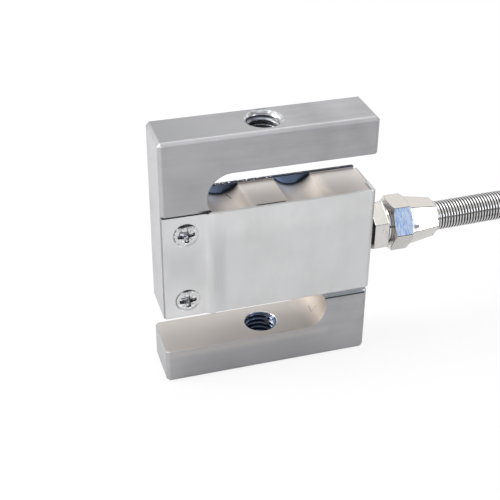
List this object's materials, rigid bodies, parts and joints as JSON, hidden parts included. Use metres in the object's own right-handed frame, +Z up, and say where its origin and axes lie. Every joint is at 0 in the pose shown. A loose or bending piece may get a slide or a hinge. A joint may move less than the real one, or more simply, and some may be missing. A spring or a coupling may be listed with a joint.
{
  "type": "s type load cell",
  "caption": "S-shaped tension and compression load cell with threaded ends, side covers, cable gland, spring strain relief and a tied hank of signal cable.",
  "frame": {"origin": "on the bottom face of the lower arm, at the axis of the lower load thread", "axes": "+X to the cable side, +Y to the back cover, +Z up along the load axis"},
  "size_m": [0.2159, 0.048, 0.064],
  "materials": {
    "body_steel": "satin, plated",
    "cover_steel": "satin",
    "plated_fastener": "bright nickel plate",
    "gauge_foil": "amber film",
    "copper_wire": "enamelled copper",
    "circuit_board": "solder resist",
    "resistor_body": "matte",
    "silicone": "soft, translucent white",
    "wire_red": "matte",
    "wire_green": "matte",
    "wire_white": "matte",
    "wire_black": "matte",
    "black_rubber": "matte",
    "nickel_brass": "bright nickel plate",
    "spring_steel": "bright",
    "cable_jacket": "satin",
    "tie_nylon": "natural",
    "sleeve_black": "matte",
    "bare_wire": "tinned"
  },
  "bodies": {
    "root": {"s_body": "body_steel", "front_cover": "cover_steel", "rear_cover": "cover_steel", "front_cover_screw_upper": "plated_fastener", "front_cover_screw_lower": "plated_fastener", "rear_cover_screw_upper": "plated_fastener", "rear_cover_screw_lower": "plated_fastener", "strain_gauge_upper_left": "gauge_foil", "strain_gauge_lower_left": "gauge_foil", "strain_gauge_upper_right": "gauge_foil", "strain_gauge_lower_right": "gauge_foil", "gauge_lead_upper_left": "copper_wire", "gauge_lead_lower_left": "copper_wire", "gauge_lead_upper_right": "copper_wire", "gauge_lead_lower_right": "copper_wire", "terminal_board": "circuit_board", "trim_resistor_left": "resistor_body", "trim_resistor_right": "resistor_body", "front_cavity_seal": "silicone", "rear_cavity_seal": "silicone", "inner_core_red": "wire_red", "inner_core_green": "wire_green", "inner_core_white": "wire_white", "inner_core_black": "wire_black", "gland_washer": "black_rubber", "gland_body": "nickel_brass", "cable_grommet": "black_rubber", "clamp_ring": "nickel_brass", "gland_nut": "nickel_brass", "strain_relief_spring": "spring_steel", "cable_entry": "cable_jacket", "signal_cable": "cable_jacket", "cable_hank": "cable_jacket", "cable_tail": "cable_jacket", "cable_tie_near": "tie_nylon", "cable_tie_far": "tie_nylon", "end_sleeve": "sleeve_black", "end_wire_red": "wire_red", "end_wire_green": "wire_green", "end_wire_white": "wire_white", "end_wire_black": "wire_black", "end_wire_drain": "bare_wire"}
  },
  "joints": []
}
